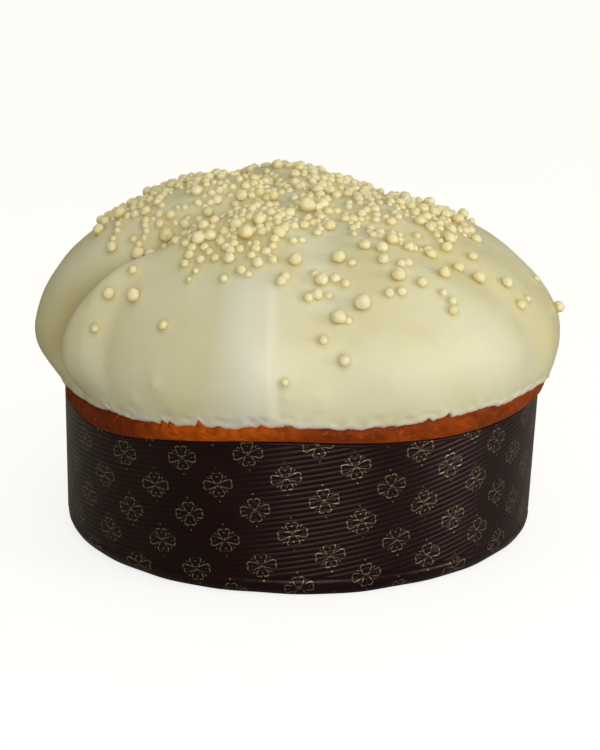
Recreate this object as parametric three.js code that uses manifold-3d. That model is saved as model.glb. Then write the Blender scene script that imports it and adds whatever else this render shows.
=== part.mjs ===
// Low panettone in its ribbed paper mould: bread, white icing and crunchy pearls.
// Millimetres, +Z up, the mould's flat bottom on Z = 0, the front towards -Y.
import * as THREE from "three";
import { ParametricGeometry } from "three/addons/geometries/ParametricGeometry.js";
import { mergeVertices } from "three/addons/utils/BufferGeometryUtils.js";
import Module from "manifold-3d";

const { cos, sin, asin, acos, atan2, hypot, sqrt, pow, exp, min, max, abs, PI } = Math;
const DEGREE = PI / 180;
const GAP = 0.3;
const SIDES = 60;

// Paper mould: a low cup of stiff ribbed paper with a crimped, rounded foot. The rising dough has
// pushed the rim down at the front left.
const MOULD_RADIUS = 105;
const MOULD_HEIGHT = 62.5;
const MOULD_WALL = 1.2;
const MOULD_FLOOR = 1.5;
const FOOT_HEIGHT = 8.5;
const FOOT_DEPTH = 5;
const FOOT_CRIMP = 3.5;
const FOOT_CRIMP_HEADING = -60;
const FOOT_TAPER = 0.9;
const RIM_SHIFT = 1.0;
const FOOT_SHIFT = -0.8;
const RIM_DIP = 5.0;
const RIM_DIP_HEADING = -50;

// Dome: half an ellipsoid above its widest ring and the top of another below it, leaning left.
const DOME_RADIUS = 112;
const DOME_WIDEST_Z = 86;
const CAP_HEIGHT = 63.5;
const LOW_HEIGHT = 56.8;
const CAP_LEAN = -8.7;
const DOME_SHIFT = 2;

// The scored top opens into creases with swollen lips, and the lobes between them rose unevenly.
// Headings run in degrees from the front towards +X; near and far are a crease's two widths, and
// foot is the dome's tilt at which it has faded out.
const CROSS_X = 5;
const CROSS_Y = -20;
const CREASES = [
  { heading: -55, curl: -20.5, depth: 9.5, near: 5.5, far: 14, lip: 1.7, foot: -22 },
  { heading: 10, curl: -9, depth: 2.2, near: 13, far: 15, lip: 0.6, foot: -16 },
  { heading: 42, curl: 34, depth: 2.0, near: 10, far: 10, lip: 0.5, foot: -16 },
  { heading: 138, curl: 0, depth: 8.2, near: 23, far: 14, lip: 1.0, foot: -16 },
  { heading: -148, curl: 10, depth: 1.5, near: 9, far: 13, lip: 1.0, foot: -16 },
];
const LOBES = [
  { from: 138, to: 212, lift: 5.7 },
  { from: 212, to: 306, lift: 4.1 },
];
const LOBE_SHOULDER = 14;

// Icing: one poured coat over the dome that stops at a wavy edge above the crust.
const ICING_THICKNESS = 1.8;
const ICING_EDGE_Z = 68.6;
const ICING_EDGE_SLANT = 3.2;
const COAT_CLOSING_Z = 100;
const BREAD_CLOSING_Z = 40;
const BREAD_SKIRT_TILT = 6;
const DOME_ROWS = 10;

// Bread: wrinkles on the bare crust between the mould's rim and the icing.
const CRUST_SUNK = 0.4;
const CRUST_INSET = 0.2;
const CRUST_BULGE = 0.8;
const CRUST_WRINKLE = 0.5;
const CRUST_ROWS = 3;
const CRUST_STEP_TILT = 0.6;
const LOAF_FOOT_ROUND = 6;

// Pearls: a dense cap of small chocolate-coated pearls, about half of them in clumps.
const PEARL_COUNT = 540;
const PEARLS_FUSED = 204;
const PEARL_SEED = 20417;
const PEARL_SMALLEST = 1.2;
const PEARL_SPREAD = 1.7;
const PEARL_CLUMPED = 0.55;
const PEARL_FIELD_END = 92;
const PEARL_FIELD_TILT = 45;
const PEARL_FIELD_NOTCH = 13;
const PEARL_LIFT = 0.4;
const PEARL_DEEPEST = 1.2;
const PEARL_FACET_GROWTH = 1.1;

// Pearls that stand out at the front: heading, tilt of the dome there, pearl radius.
const FRONT_PEARLS = [
  [-72, 50, 3.1], [-72, 43, 2.9], [-62, 41, 2.5], [-54, 43, 3.1], [-54, 37, 2.1], [-44, 35, 1.9],
  [-47, 26, 2.5], [-40, 27, 3.2], [-50, 52, 3.4], [-30, 49, 3.2], [-27, 51, 2.7], [-15, 53, 3.6],
  [-4, 54, 3.1], [6, 59, 2.3], [10, 56, 1.9], [0, 44, 3.0], [-18, 49, 2.1], [-30, 43, 2.2],
  [-26, 42, 2.0], [-30, 40, 1.9], [-26, 38, 1.4], [-27, 35, 1.2], [-22, 43, 2.0], [-18, 43, 2.4],
  [-18, 36, 1.7], [-14, 39, 2.1], [-12, 38, 1.5], [-12, 45, 1.9], [-8, 47, 2.0], [-6, 44, 1.9],
  [-10, 42, 2.4], [-3, 38, 2.1], [-4, 36, 2.1], [5, 40, 1.7], [11, 68, 4.1], [-12, 59, 3.1],
  [16, 58, 2.6], [22, 48, 2.5], [32, 49, 3.0], [26, 46, 2.6], [36, 46, 2.4], [13, 45, 3.1],
  [16, 43, 1.6], [24, 42, 2.4], [28, 40, 1.9], [30, 40, 2.1], [25, 36, 3.1], [30, 33, 2.2],
  [42, 43, 2.5], [50, 44, 2.5], [54, 46, 2.8], [62, 49, 2.5], [55, 39, 2.1], [47, 37, 2.4],
  [38, 35, 2.8], [50, 32, 2.9], [58, 28, 2.4], [78, 24, 1.6], [34, 29, 1.6], [24, 31, 2.1],
  [21, 31, 2.1], [6, 37, 3.0], [10, 38, 2.1], [12, 36, 1.9], [4, 32, 2.4], [2, 31, 2.0],
  [7, 32, 1.6], [14, 28, 3.6], [8, 24, 3.3], [10, 23, 1.6], [4, 17, 1.8], [8, 10, 2.3],
  [-4, 3, 1.5], [35, 26, 1.9], [34, 23, 2.1], [58, 20, 2.2], [62, 21, 1.5], [-48, 14, 1.7],
  [-30, 19, 2.0], [79, 12, 2.9],
];

const paper = new THREE.MeshStandardMaterial({ color: 0x24130f, roughness: 0.5, metalness: 0 });
const crust = new THREE.MeshStandardMaterial({ color: 0x9a4a12, roughness: 0.6, metalness: 0 });
const chocolate = new THREE.MeshStandardMaterial({ color: 0xdcd3ac, roughness: 0.35, metalness: 0 });

function fade(low, high, value) {
  const t = min(max((value - low) / (high - low), 0), 1);
  return t * t * (3 - 2 * t);
}

function mix(a, b, t) {
  return a + (b - a) * t;
}

// How far a crease or a lobe sinks or lifts the dome at a point in plan.
function scoredSwell(x, y, tilt) {
  const dx = x - CROSS_X;
  const dy = y - CROSS_Y;
  const reach = hypot(dx, dy);
  const heading = atan2(dx, -dy);
  let swell = 0;
  for (const crease of CREASES) {
    const bend = crease.curl * pow(reach / DOME_RADIUS, 2);
    const off = heading - (crease.heading + bend) * DEGREE;
    const across = reach * sin(off);
    const along = fade(0, 34, reach * cos(off)) * fade(crease.foot, crease.foot + 22, tilt);
    const width = across > 0 ? crease.near : crease.far;
    const beyond = (abs(across) - 2.2 * width) / (1.3 * width);
    swell += along * (crease.lip * exp(-beyond * beyond) - crease.depth * exp(-pow(across / width, 2)));
  }
  for (const lobe of LOBES) {
    const pastFirst = fade(0, LOBE_SHOULDER, reach * sin(heading - lobe.from * DEGREE));
    const pastLast = fade(0, LOBE_SHOULDER, reach * sin(lobe.to * DEGREE - heading));
    swell += lobe.lift * pastFirst * pastLast * fade(-16, 6, tilt);
  }
  return swell;
}

// Slow unevenness of hand-shaped dough.
function doughSwell(x, y, z) {
  const slow = 0.7 * sin(x / 21 + 1.1) * sin(y / 25 + 2.3);
  const quick = 0.35 * sin((x + 1.7 * y) / 13 + z / 17);
  return slow + quick;
}

// A point of the dome's outer skin, sunk along the profile by a depth.
function domePoint(azimuth, tilt, sunk, target) {
  const angle = tilt * DEGREE;
  const ring = DOME_RADIUS * cos(angle);
  const rise = (tilt > 0 ? CAP_HEIGHT : LOW_HEIGHT) * sin(angle);
  const planX = ring * sin(azimuth);
  const planY = -ring * cos(azimuth);
  const swell = scoredSwell(planX, planY, tilt) + doughSwell(planX, planY, rise) - sunk;
  const shift = DOME_SHIFT + CAP_LEAN * pow(max(rise, 0) / CAP_HEIGHT, 2);
  const radius = max(ring + swell * cos(angle), 0);
  return target.set(
    radius * sin(azimuth) + shift,
    -radius * cos(azimuth),
    DOME_WIDEST_Z + rise + swell * sin(angle),
  );
}

// A bell over the headings, one high at its middle, both in degrees.
function bell(azimuth, middle, width) {
  const off = atan2(sin(azimuth - middle * DEGREE), cos(azimuth - middle * DEGREE)) / DEGREE;
  return exp(-pow(off / width, 2));
}

// The mould's uneven rim.
function rimHeight(azimuth) {
  const dip = RIM_DIP * bell(azimuth, RIM_DIP_HEADING, 21);
  return MOULD_HEIGHT - dip + 1.4 * bell(azimuth, -5, 14) - 1.5 * bell(azimuth, 36, 18);
}

// A closed body from a wrapped grid of points: across goes round, along runs from axis to axis.
function wrappedBody(place, around, along) {
  const grid = new ParametricGeometry((u, v, target) => place(u * 2 * PI, v * along, target), around, along);
  return weld(grid);
}

function weld(source) {
  const geometry = source.clone();
  geometry.deleteAttribute("normal");
  geometry.deleteAttribute("uv");
  const merged = mergeVertices(geometry, 1e-3);
  const kept = [];
  const index = merged.getIndex().array;
  for (let i = 0; i < index.length; i += 3) {
    const [a, b, c] = [index[i], index[i + 1], index[i + 2]];
    if (a !== b && b !== c && c !== a) {
      kept.push(a, b, c);
    }
  }
  merged.setIndex(kept);
  merged.computeVertexNormals();
  return merged;
}

// Mould: floor, rounded foot, tapering wall, rim and inner wall, as radius and height.
function mouldProfile(azimuth) {
  const points = [[0, 0]];
  const footRadius = MOULD_RADIUS - FOOT_TAPER;
  const footDepth = FOOT_DEPTH + FOOT_CRIMP * bell(azimuth, FOOT_CRIMP_HEADING, 18);
  const rim = rimHeight(azimuth);
  for (let step = 0; step <= 3; step += 1) {
    const turn = (step / 3) * PI / 2;
    points.push([footRadius - footDepth * (1 - sin(turn)), FOOT_HEIGHT * (1 - cos(turn))]);
  }
  points.push([MOULD_RADIUS, rim]);
  points.push([MOULD_RADIUS - MOULD_WALL, rim]);
  points.push([footRadius - MOULD_WALL, FOOT_HEIGHT]);
  points.push([footRadius - FOOT_DEPTH, MOULD_FLOOR]);
  points.push([0, MOULD_FLOOR]);
  return points;
}

// A point at a radius and height, moved over as the mould leans.
function mouldPoint(azimuth, radius, height, target) {
  const shift = mix(FOOT_SHIFT, RIM_SHIFT, height / MOULD_HEIGHT);
  return target.set(radius * sin(azimuth) + shift, -radius * cos(azimuth), height);
}

function mouldGeometry() {
  const place = (azimuth, row, target) => {
    const [radius, height] = mouldProfile(azimuth)[Math.round(row)];
    mouldPoint(azimuth, radius, height, target);
  };
  return wrappedBody(place, SIDES, mouldProfile(0).length - 1);
}

// The icing's wavy lower edge, as the dome's tilt at a heading.
function icingEdgeTilt(azimuth) {
  const slant = ICING_EDGE_SLANT * sin(azimuth + 20 * DEGREE);
  const lobes = 1.4 * bell(azimuth, -13, 9) - 1.6 * bell(azimuth, 15, 10);
  const ripple = 0.35 * sin(azimuth * 16 + 2.4) + 0.3 * sin(azimuth * 29);
  return asin((ICING_EDGE_Z + slant + lobes + ripple - DOME_WIDEST_Z) / LOW_HEIGHT) / DEGREE;
}

// Bread: the body inside the mould, a step out over the paper's rim, the bare crust and the iced dome.
function loafGeometry() {
  const footRadius = MOULD_RADIUS - FOOT_TAPER - MOULD_WALL - GAP;
  const rimRadius = MOULD_RADIUS - MOULD_WALL - GAP;
  const rimPoint = new THREE.Vector3();
  const place = (azimuth, row, target) => {
    const step = Math.round(row);
    const rim = rimHeight(azimuth) + GAP;
    const body = [
      [0, MOULD_FLOOR + GAP],
      [footRadius - LOAF_FOOT_ROUND, MOULD_FLOOR + GAP],
      [footRadius, FOOT_HEIGHT + GAP],
      [rimRadius, rim],
    ];
    const crustRow = step - body.length;
    const domeRow = crustRow - CRUST_ROWS - 1;
    const edge = icingEdgeTilt(azimuth);
    if (crustRow < 0) {
      mouldPoint(azimuth, body[step][0], body[step][1], target);
    } else if (domeRow < 0) {
      const share = crustRow / CRUST_ROWS;
      const pucker = sin(azimuth * 23 + 2 * sin(azimuth * 7)) * sin(crustRow * 2 + azimuth * 11);
      const swell = (CRUST_BULGE + CRUST_WRINKLE * pucker) * sin(PI * share);
      mouldPoint(azimuth, MOULD_RADIUS - CRUST_INSET, rim, rimPoint);
      domePoint(azimuth, edge - CRUST_STEP_TILT, CRUST_SUNK, target);
      target.lerpVectors(rimPoint, target.clone(), share);
      target.x += swell * sin(azimuth);
      target.y -= swell * cos(azimuth);
    } else {
      domePoint(azimuth, mix(edge, 90, domeRow / DOME_ROWS), ICING_THICKNESS + GAP, target);
    }
  };
  return wrappedBody(place, SIDES, 4 + CRUST_ROWS + 1 + DOME_ROWS);
}

// The dome above the icing's edge, or a little below it, closed by a cone to a point on the axis.
function domeBody(sunk, skirtTilt, closingZ) {
  const place = (azimuth, row, target) => {
    const step = Math.round(row);
    const edge = icingEdgeTilt(azimuth);
    if (step === 0) {
      target.set(0, 0, closingZ);
    } else if (step === 1) {
      domePoint(azimuth, edge - skirtTilt, sunk, target);
    } else {
      domePoint(azimuth, mix(edge, 90, (step - 2) / DOME_ROWS), sunk, target);
    }
  };
  return wrappedBody(place, SIDES, DOME_ROWS + 2);
}

// Park-Miller draw, so that the pearls fall in the same places each time.
function seededDraw(seed) {
  let state = seed;
  return () => {
    state = (state * 16807) % 2147483647;
    return state / 2147483647;
  };
}

function domeNormal(azimuth, tilt) {
  const step = 0.5;
  const turn = step / max(cos(tilt * DEGREE), 0.05);
  const left = domePoint(azimuth - turn * DEGREE, tilt, 0, new THREE.Vector3());
  const right = domePoint(azimuth + turn * DEGREE, tilt, 0, new THREE.Vector3());
  const low = domePoint(azimuth, tilt - step, 0, new THREE.Vector3());
  const high = domePoint(azimuth, min(tilt + step, 89.9), 0, new THREE.Vector3());
  return right.sub(left).cross(high.sub(low)).normalize();
}

function pearlAt(azimuth, tilt, radius) {
  const centre = domePoint(azimuth, tilt, 0, new THREE.Vector3());
  const lift = max(PEARL_LIFT * radius, PEARL_FACET_GROWTH * radius - PEARL_DEEPEST);
  centre.addScaledVector(domeNormal(azimuth, tilt), lift);
  const reach = DOME_RADIUS * cos(tilt * DEGREE);
  return { centre, radius, planX: reach * sin(azimuth), planY: -reach * cos(azimuth) };
}

// All pearls: the front ones first, then draws over the field that keep clear of earlier ones.
// Some draws roll up to an earlier pearl, so that the pearls lie in clumps.
function pearls() {
  const placed = FRONT_PEARLS.map(([heading, tilt, radius]) => pearlAt(heading * DEGREE, tilt, radius));
  const draw = seededDraw(PEARL_SEED);
  while (placed.length < PEARL_COUNT) {
    const radius = PEARL_SMALLEST + PEARL_SPREAD * pow(draw(), 2);
    const turn = draw() * 2 * PI;
    const clumped = draw() < PEARL_CLUMPED;
    const keep = draw();
    const pick = draw();
    let planX = PEARL_FIELD_END * sqrt(pick) * sin(turn);
    let planY = -PEARL_FIELD_END * sqrt(pick) * cos(turn);
    if (clumped) {
      const neighbour = placed[Math.floor(pick * placed.length)];
      planX = neighbour.planX + (radius + neighbour.radius) * sin(turn);
      planY = neighbour.planY - (radius + neighbour.radius) * cos(turn);
    }
    const azimuth = atan2(planX, -planY);
    const tilt = acos(min(hypot(planX, planY) / DOME_RADIUS, 1)) / DEGREE;
    const lowest = PEARL_FIELD_TILT + PEARL_FIELD_NOTCH * bell(azimuth, 14, 16);
    const pearl = pearlAt(azimuth, tilt, radius);
    const wanted = keep < fade(lowest - 4, lowest + 5, tilt);
    const clear = placed.every((other) => (
      other.centre.distanceTo(pearl.centre) > 0.86 * (other.radius + radius)
    ));
    if (wanted && clear) {
      placed.push(pearl);
    }
  }
  return placed.sort((a, b) => b.radius - a.radius);
}

function pearlGeometry({ centre, radius }, order) {
  const ball = new THREE.IcosahedronGeometry(radius * PEARL_FACET_GROWTH);
  ball.rotateZ(order);
  ball.translate(centre.x, centre.y, centre.z);
  return weld(ball);
}

const wasm = await Module();
wasm.setup();

function solidOf(geometry) {
  return new wasm.Manifold(new wasm.Mesh({
    numProp: 3,
    vertProperties: new Float32Array(geometry.getAttribute("position").array),
    triVerts: new Uint32Array(geometry.getIndex().array),
  }));
}

function geometryOf(solid) {
  const { vertProperties, triVerts } = solid.getMesh();
  const geometry = new THREE.BufferGeometry();
  geometry.setAttribute("position", new THREE.BufferAttribute(vertProperties, 3));
  geometry.setIndex(new THREE.BufferAttribute(triVerts, 1));
  geometry.computeVertexNormals();
  return geometry;
}

// Icing with its larger pearls fused on; a loose scrap or sealed hollow between pearls drops out.
function icingGeometry() {
  let coat = solidOf(domeBody(0, 0, COAT_CLOSING_Z));
  const bread = solidOf(domeBody(ICING_THICKNESS, BREAD_SKIRT_TILT, BREAD_CLOSING_Z));
  pearls().slice(0, PEARLS_FUSED).forEach((pearl, order) => {
    coat = coat.add(solidOf(pearlGeometry(pearl, order)));
  });
  const pieces = coat.subtract(bread).decompose().sort((a, b) => b.volume() - a.volume());
  return geometryOf(pieces[0]);
}

function named(name, geometry, material) {
  const mesh = new THREE.Mesh(geometry, material);
  mesh.name = name;
  return mesh;
}

const panettone = new THREE.Group();
panettone.add(named("paper_mould", mouldGeometry(), paper));
panettone.add(named("loaf", loafGeometry(), crust));
panettone.add(named("icing", icingGeometry(), chocolate));

export default panettone;
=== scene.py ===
import math

import bmesh
import bpy
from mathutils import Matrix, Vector, kdtree, noise


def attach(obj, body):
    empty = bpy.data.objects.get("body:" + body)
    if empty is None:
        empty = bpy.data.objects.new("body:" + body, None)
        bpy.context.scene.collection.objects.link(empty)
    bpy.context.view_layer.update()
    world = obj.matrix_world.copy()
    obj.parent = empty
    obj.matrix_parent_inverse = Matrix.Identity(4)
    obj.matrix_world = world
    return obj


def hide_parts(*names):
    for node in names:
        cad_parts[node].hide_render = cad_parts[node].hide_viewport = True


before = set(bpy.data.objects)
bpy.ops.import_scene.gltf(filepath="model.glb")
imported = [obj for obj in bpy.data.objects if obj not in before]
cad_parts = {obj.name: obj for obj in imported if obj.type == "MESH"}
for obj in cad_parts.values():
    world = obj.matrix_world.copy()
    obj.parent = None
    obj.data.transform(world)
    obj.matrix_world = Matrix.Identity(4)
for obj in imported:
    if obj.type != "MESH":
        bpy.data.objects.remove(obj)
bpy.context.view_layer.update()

# Camera and room
# The camera stands where the photo's camera stood, a little above the loaf, and looks at its middle.
# A window low on the right and a softer one in front light it. The room is dim at the left and below, and
# pale above and at the right.
VIEW_DISTANCE = 0.70
VIEW_RISE = math.radians(14.0)
VIEW_TARGET = Vector((0.0, 0.0, 0.0645))
VIEW_LENS = 75.0
DIM_LIGHT = (0.11, 0.088, 0.032, 1.0)
PALE_LIGHT = (0.57, 0.555, 0.48, 1.0)
ROOM_SLANT = 0.28
ROOM_DIM_BELOW = -0.35
ROOM_PALE_ABOVE = 1.1
TABLE_HALF = 60.0
TABLE_GLOW = 0.78
TABLE_DARKER = (0.40, 0.39, 0.37, 1.0)
TABLE_LIGHTER = (0.43, 0.42, 0.40, 1.0)

camera_data = bpy.data.cameras.new("view")
camera_data.lens = VIEW_LENS
camera_data.clip_start = 0.01
camera = bpy.data.objects.new("view", camera_data)
view_back = Vector((0.0, -math.cos(VIEW_RISE), math.sin(VIEW_RISE)))
camera.location = VIEW_TARGET + view_back * VIEW_DISTANCE
camera.rotation_euler = view_back.to_track_quat("Z", "Y").to_euler()
bpy.context.scene.collection.objects.link(camera)
bpy.context.scene.camera = camera
bpy.context.scene.view_settings.view_transform = "Standard"


def soft_light(name, heading, rise, distance, width, height, power, colour):
    """A rectangular light that looks at the loaf from a heading and a rise in degrees."""
    data = bpy.data.lights.new(name, "AREA")
    data.shape = "RECTANGLE"
    data.size = width
    data.size_y = height
    data.energy = power
    data.color = colour
    light = bpy.data.objects.new(name, data)
    turn, lift = math.radians(heading), math.radians(rise)
    way = Vector((math.sin(turn) * math.cos(lift), -math.cos(turn) * math.cos(lift), math.sin(lift)))
    light.location = VIEW_TARGET + way * distance
    light.rotation_euler = way.to_track_quat("Z", "Y").to_euler()
    bpy.context.scene.collection.objects.link(light)


soft_light("window", 67, 8, 1.6, 0.6, 0.7, 7.2, (1.0, 1.0, 1.0))
soft_light("front_window", 6, 17, 1.7, 1.3, 1.0, 12.2, (1.0, 1.0, 0.98))

room = bpy.data.worlds.new("room")
room.use_nodes = True
room_nodes, room_links = room.node_tree.nodes, room.node_tree.links
room_way = room_nodes.new("ShaderNodeTexCoord")
room_split = room_nodes.new("ShaderNodeSeparateXYZ")
room_rise = room_nodes.new("ShaderNodeMapRange")
room_rise.inputs["From Min"].default_value = ROOM_DIM_BELOW
room_rise.inputs["From Max"].default_value = ROOM_PALE_ABOVE
room_slant = room_nodes.new("ShaderNodeMath")
room_slant.operation = "MULTIPLY_ADD"
room_slant.inputs[1].default_value = ROOM_SLANT
room_tint = room_nodes.new("ShaderNodeMix")
room_tint.data_type = "RGBA"
room_tint.inputs["A"].default_value = DIM_LIGHT
room_tint.inputs["B"].default_value = PALE_LIGHT
room_links.new(room_way.outputs["Generated"], room_split.inputs[0])
room_links.new(room_split.outputs["X"], room_slant.inputs[0])
room_links.new(room_split.outputs["Z"], room_slant.inputs[2])
room_links.new(room_slant.outputs[0], room_rise.inputs["Value"])
room_links.new(room_rise.outputs["Result"], room_tint.inputs["Factor"])
room_links.new(room_tint.outputs["Result"], room_nodes["Background"].inputs["Color"])
bpy.context.scene.world = room

table_mesh = bmesh.new()
bmesh.ops.create_grid(table_mesh, x_segments=8, y_segments=8, size=TABLE_HALF)
table_data = bpy.data.meshes.new("table")
table_mesh.to_mesh(table_data)
table_mesh.free()
table = bpy.data.objects.new("table", table_data)
bpy.context.scene.collection.objects.link(table)

table_finish = bpy.data.materials.new("pale_table")
table_finish.use_nodes = True
table_nodes, table_links = table_finish.node_tree.nodes, table_finish.node_tree.links
table_bsdf = table_nodes["Principled BSDF"]
table_bsdf.inputs["Roughness"].default_value = 0.7
table_bsdf.inputs["Emission Color"].default_value = (1.0, 1.0, 1.0, 1.0)
table_grain = table_nodes.new("ShaderNodeTexNoise")
table_grain.inputs["Scale"].default_value = 3.0
table_tint = table_nodes.new("ShaderNodeMix")
table_tint.data_type = "RGBA"
table_tint.inputs["A"].default_value = TABLE_DARKER
table_tint.inputs["B"].default_value = TABLE_LIGHTER
table_place = table_nodes.new("ShaderNodeTexCoord")
table_links.new(table_place.outputs["Object"], table_grain.inputs["Vector"])
table_links.new(table_grain.outputs["Fac"], table_tint.inputs["Factor"])
table_links.new(table_tint.outputs["Result"], table_bsdf.inputs["Base Color"])
table_seen = table_nodes.new("ShaderNodeMath")
table_seen.operation = "MULTIPLY"
table_seen.inputs[1].default_value = TABLE_GLOW
table_links.new(table_nodes.new("ShaderNodeLightPath").outputs["Is Camera Ray"], table_seen.inputs[0])
table_links.new(table_seen.outputs[0], table_bsdf.inputs["Emission Strength"])
table_data.materials.append(table_finish)

# Paper mould
# The low case that the loaf was baked in and is sold in: stiff dark-brown paper, pressed into fine ribs that
# climb gently round the wall, crimped round at the foot and printed in pale gold with a small flower.
MM = 0.001
MOULD_RADIUS = 105.0
MOULD_HEIGHT = 62.5
MOULD_WALL = 1.2
MOULD_FLOOR = 1.5
FOOT_HEIGHT = 8.5
FOOT_DEPTH = 5.0
FOOT_CRIMP = 3.5
FOOT_CRIMP_AT = (-60, 18)
FOOT_RIPPLES = [(-0.7, 5, 0.7), (-0.5, 11, 0), (-0.3, 23, 2)]
FOOT_CREASE = 1.0
FOOT_CREASE_AT = 0.92
FOOT_CREASE_WIDTH = 0.06
FOOT_ROWS = 14
FOOT_TAPER = 0.9
RIM_SHIFT = 1.0
FOOT_SHIFT = -0.8
RIM_WAVES = [(-50, 21, -5.0), (-5, 14, 1.4), (36, 18, -1.5)]
RIM_ROUND = 0.5
RIM_ROWS = 4
WALL_WAVER = [(0.22, 3, 1.0), (0.12, 8, 0)]
RIB_CLIMB = math.radians(8.0)
RIBS_ROUND = 43
RIB_DEPTH = 0.26
RIB_SHARPNESS = 8
ROWS_PER_RIB = 8
PRINT_BOW = 7.5
PRINT_STRETCH = math.radians(4.5)
PRINT_STRETCH_AT = (-65, 25)
PRINT_SAG = 2.4
PRINT_SAG_AT = (-42, 28)
MOULD_STEPS = 400
MOULD_INSIDE_ROWS = 6

wall_round = 2 * math.pi * MOULD_RADIUS
rib_pitch = wall_round * math.tan(RIB_CLIMB) / RIBS_ROUND


def fade(low, high, value):
    """0 below low, 1 above high, smooth between."""
    share = min(max((value - low) / (high - low), 0.0), 1.0)
    return share * share * (3.0 - 2.0 * share)


def blend(first, second, share):
    return first + (second - first) * share


def bell(heading, middle, width):
    """A bell over the headings, one high at its middle, both in degrees."""
    off = math.degrees(math.remainder(heading - math.radians(middle), 2 * math.pi))
    return math.exp(-(off / width) ** 2)


def bells(heading, rows):
    """Several bells added up, from rows of middle, width and height."""
    return sum(height * bell(heading, middle, width) for middle, width, height in rows)


def waves(heading, rows):
    """Sine waves round the loaf added up, from rows of height, number round and start."""
    return sum(height * math.sin(number * heading + start) for height, number, start in rows)


def round_z(radius, heading, height):
    return Vector((radius * math.sin(heading), -radius * math.cos(heading), height))


def turned_rows(rows, steps):
    """A grid rolled once round Z, its ends at the back: a point holds its row in z and keeps its heading."""
    form = bmesh.new()
    bmesh.ops.create_grid(form, x_segments=steps, y_segments=rows - 1, size=1.0)
    for point in form.verts:
        point.co = round_z(1.0, math.pi * point.co.x, round((point.co.y + 1) / 2 * (rows - 1)))
    return form


def heading_of(point):
    return math.atan2(point.co.x, -point.co.y)


def finished_piece(form, name, finish):
    """Closes the seam and the poles, turns faces outward, goes to metres and makes a smooth-shaded piece."""
    bmesh.ops.remove_doubles(form, verts=form.verts, dist=0.002)
    bmesh.ops.recalc_face_normals(form, faces=form.faces)
    bmesh.ops.scale(form, vec=(MM, MM, MM), verts=form.verts)
    mesh = bpy.data.meshes.new(name)
    form.to_mesh(mesh)
    form.free()
    mesh.shade_smooth()
    mesh.materials.append(finish)
    piece = bpy.data.objects.new(name, mesh)
    bpy.context.scene.collection.objects.link(piece)
    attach(piece, "root")
    return piece


def rim_height(heading):
    """The paper's rim, which the rising dough has pressed down at the front left."""
    return MOULD_HEIGHT + bells(heading, RIM_WAVES)


def mould_place(radius, heading, height):
    """A point at a radius and height, moved over as the mould leans."""
    lean = blend(FOOT_SHIFT, RIM_SHIFT, height / MOULD_HEIGHT)
    return round_z(radius, heading, height) + Vector((lean, 0, 0))


def print_place(heading, height):
    """Millimetres round and up the paper, whose ribs and rows bow up towards the sides."""
    along = heading + PRINT_STRETCH * bell(heading, *PRINT_STRETCH_AT)
    up = height - PRINT_BOW * (1 - math.cos(heading)) + PRINT_SAG * bell(heading, *PRINT_SAG_AT)
    return along * MOULD_RADIUS, up


def rib_relief(heading, height):
    """Broad crests with narrow grooves between them, climbing round the wall."""
    along, up = print_place(heading, height)
    turn = math.pi * (up - along * math.tan(RIB_CLIMB)) / rib_pitch
    return -RIB_DEPTH * math.sin(turn) ** RIB_SHARPNESS


foot_radius = MOULD_RADIUS - FOOT_TAPER
mould_rows = [("floor", share) for share in (0.0, 0.3, 0.6, 0.85, 0.95, 1.0)]
mould_rows += [("foot", step / FOOT_ROWS) for step in range(1, FOOT_ROWS)]
wall_rows = round((MOULD_HEIGHT - FOOT_HEIGHT) / rib_pitch * ROWS_PER_RIB)
mould_rows += [("wall", step / wall_rows) for step in range(wall_rows)]
mould_rows += [("rim", step / RIM_ROWS) for step in range(RIM_ROWS + 1)]
mould_rows += [("inside", step / MOULD_INSIDE_ROWS) for step in range(1, MOULD_INSIDE_ROWS + 1)]
mould_rows += [("bottom", share) for share in (1.0, 0.5, 0.0)]


def mould_point(heading, row):
    """Where a point of the mould lies, in millimetres, from its heading and its row."""
    part, share = mould_rows[row]
    foot_depth = FOOT_DEPTH + FOOT_CRIMP * bell(heading, *FOOT_CRIMP_AT) + waves(heading, FOOT_RIPPLES)
    waver = waves(heading, WALL_WAVER)
    shoulder = rim_height(heading) - RIM_ROUND
    if part == "floor":
        radius, height = share * (foot_radius - foot_depth), 0.0
    elif part == "foot":
        turn = share * math.pi / 2
        radius = foot_radius - foot_depth * (1 - math.sin(turn))
        height = FOOT_HEIGHT * (1 - math.cos(turn))
        radius += rib_relief(heading, height) * fade(0.35, 0.8, share)
        radius -= FOOT_CREASE * math.exp(-((share - FOOT_CREASE_AT) / FOOT_CREASE_WIDTH) ** 2)
    elif part == "wall":
        height = blend(FOOT_HEIGHT, shoulder, share)
        radius = blend(foot_radius, MOULD_RADIUS, share) + waver
        radius += rib_relief(heading, height) * (1 - fade(0.98, 1.0, share))
    elif part == "rim":
        turn = share * math.pi
        radius = MOULD_RADIUS + waver * (1 - share) - MOULD_WALL * 0.5 * (1 - math.cos(turn))
        height = shoulder + RIM_ROUND * math.sin(turn)
    elif part == "inside":
        radius = blend(MOULD_RADIUS, foot_radius, share) - MOULD_WALL
        height = blend(shoulder, FOOT_HEIGHT, share)
    else:
        radius, height = share * (foot_radius - FOOT_DEPTH), MOULD_FLOOR
    return mould_place(radius, heading, height)


mould_form = turned_rows(len(mould_rows), MOULD_STEPS)
print_map = mould_form.loops.layers.uv.new("print_mm")
for point in mould_form.verts:
    heading = heading_of(point)
    point.co = mould_point(heading, round(point.co.z))
    for loop in point.link_loops:
        loop[print_map].uv = print_place(heading, point.co.z)


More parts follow.
